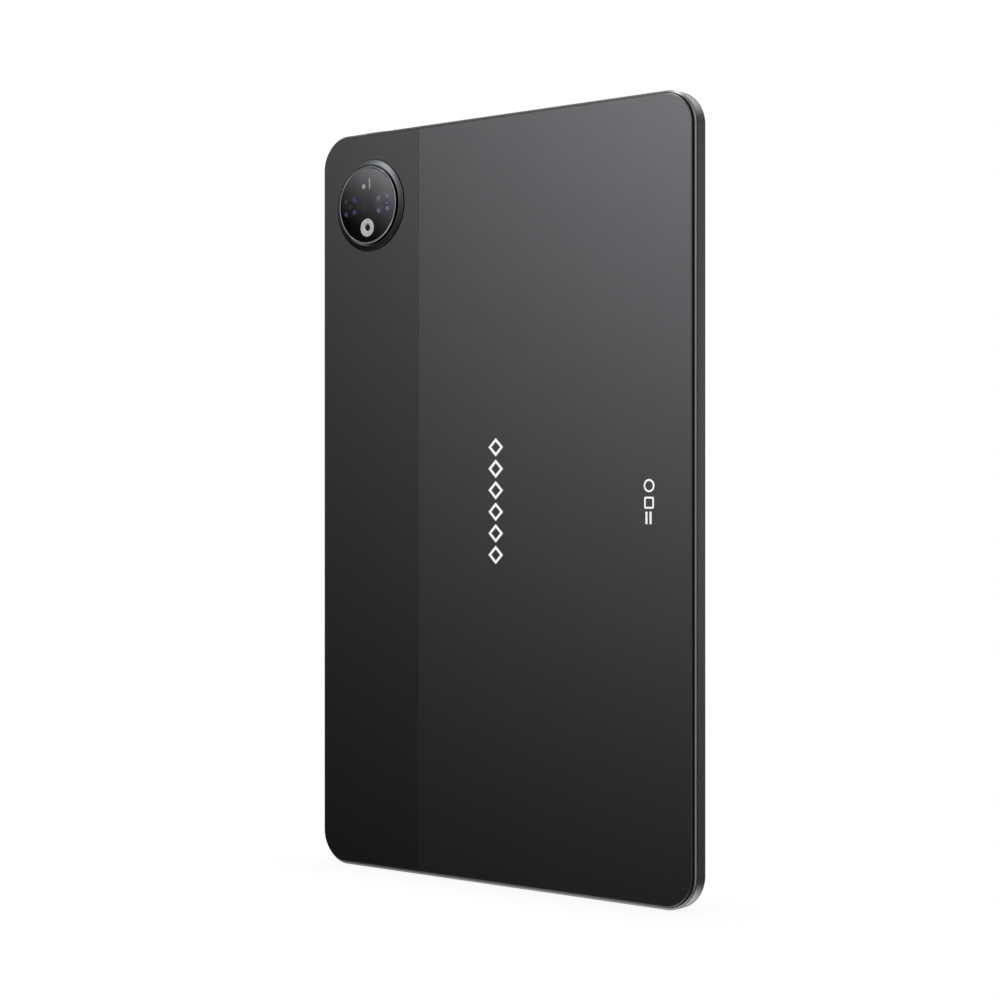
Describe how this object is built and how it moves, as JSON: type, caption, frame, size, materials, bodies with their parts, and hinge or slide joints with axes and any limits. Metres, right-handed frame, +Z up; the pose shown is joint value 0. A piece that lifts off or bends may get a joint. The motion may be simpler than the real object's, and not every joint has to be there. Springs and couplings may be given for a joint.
{
  "type": "tablet computer",
  "caption": "Slim upright tablet with a two-part rear skin, a stepped round camera island, a press button, a rocker and a card tray pushed out by a lever.",
  "frame": {"origin": "middle of the bottom short edge, half way through the slab between the cover glass and the rear panel", "axes": "+Z up the long side towards the camera end, +Y out of the rear panel, -Y out of the screen, +X towards the long edge with the rocker and the card tray"},
  "size_m": [0.1623, 0.0091, 0.2584],
  "materials": {
    "frame_alloy": "bead-blasted and anodised, with a polished chamfer",
    "button_alloy": "bead-blasted and anodised",
    "rear_panel_alloy": "fine satin anodised",
    "rear_strip_resin": "satin coated",
    "island_alloy": "satin anodised",
    "bright_ring_alloy": "polished",
    "tray_alloy": "mill finish",
    "cover_glass": "gloss, black printed from behind",
    "window_glass": "gloss, dark printed from behind",
    "lcd_film": "gloss",
    "clear_acrylic": "gloss",
    "polyimide": "satin",
    "black_resin": "fine moulded texture",
    "flash_diffuser": "frosted",
    "led_phosphor": "gloss",
    "spring_steel": "rolled",
    "tinned_steel": "tin plated",
    "mesh_steel": "black woven mesh",
    "circuit_board": "solder mask",
    "chip_epoxy": "matte",
    "graphite_sheet": "satin",
    "pouch_foil": "satin laminate",
    "seal_rubber": "matte",
    "foam_rubber": "matte",
    "switch_resin": "matte"
  },
  "bodies": {
    "root": {"mid_frame": "frame_alloy", "rear_seal": "seal_rubber", "rear_cover": "rear_panel_alloy", "rear_strip": "rear_strip_resin", "front_bezel": "black_resin", "cover_glass": "cover_glass", "lcd_cell": "lcd_film", "light_guide": "clear_acrylic", "backlight_tray": "tray_alloy", "display_flex": "polyimide", "front_camera": "black_resin", "camera_base_ring": "island_alloy", "camera_bezel_ring": "bright_ring_alloy", "camera_window": "window_glass", "flash_ring": "flash_diffuser", "flash_led": "led_phosphor", "main_camera": "black_resin", "second_camera": "black_resin", "camera_bracket": "spring_steel", "main_board": "circuit_board", "board_chips": "chip_epoxy", "shield_cans": "tinned_steel", "flex_connectors": "black_resin", "heat_spreader": "graphite_sheet", "battery_cell_left": "pouch_foil", "battery_cell_right": "pouch_foil", "battery_board": "circuit_board", "speaker_bottom_left": "black_resin", "speaker_bottom_right": "black_resin", "speaker_top_left": "black_resin", "speaker_top_right": "black_resin", "speaker_meshes": "mesh_steel", "speaker_gaskets": "foam_rubber", "sub_board": "circuit_board", "usb_c_shell": "tinned_steel", "usb_c_tongue": "black_resin", "link_flex": "polyimide", "antenna_top": "black_resin", "antenna_bottom": "black_resin", "coax_cable": "foam_rubber", "microphone": "tinned_steel", "vibration_motor": "tinned_steel", "power_switch": "switch_resin", "power_bracket": "spring_steel", "volume_switches": "switch_resin", "volume_bracket": "spring_steel", "sim_socket": "tinned_steel", "lever_pin": "spring_steel", "board_screws": "spring_steel"},
    "power_button": {"power_button": "button_alloy"},
    "volume_rocker": {"volume_rocker": "button_alloy"},
    "eject_plunger": {"eject_plunger": "spring_steel"},
    "eject_lever": {"eject_lever": "spring_steel"},
    "eject_pusher": {"eject_pusher": "switch_resin"},
    "sim_tray": {"sim_tray": "button_alloy"}
  },
  "joints": [
    {"name": "power_press", "type": "slide", "parent": "root", "child": "power_button", "axis": [0, 0, -1], "range_m": [0, 0.0003], "stiffness_N_per_m": 3000, "springref_m": -0.0001},
    {"name": "volume_rock", "type": "hinge", "parent": "root", "child": "volume_rocker", "pos_m": [0.0776, 0.00035, 0.158], "axis": [0, 1, 0], "range_deg": [-1.4, 1.4], "stiffness_Nm_per_rad": 0.8},
    {"name": "lever_turn", "type": "hinge", "parent": "root", "child": "eject_lever", "pos_m": [0.045, 0.00035, 0.198], "axis": [0, 1, 0], "range_deg": [0, 29.8]},
    {"name": "eject_press", "type": "slide", "parent": "root", "child": "eject_plunger", "axis": [-1, 0, 0], "range_m": [0, 0.0025]},
    {"name": "pusher_slide", "type": "slide", "parent": "root", "child": "eject_pusher", "axis": [1, 0, 0], "range_m": [0, 0.0025]},
    {"name": "tray_slide", "type": "slide", "parent": "eject_pusher", "child": "sim_tray", "axis": [1, 0, 0], "range_m": [0, 0.024]}
  ],
  "couplings": [
    {"joint": "lever_turn", "follows": "eject_press", "rad_per_m": 208.04},
    {"joint": "pusher_slide", "follows": "eject_press", "ratio": 1}
  ]
}
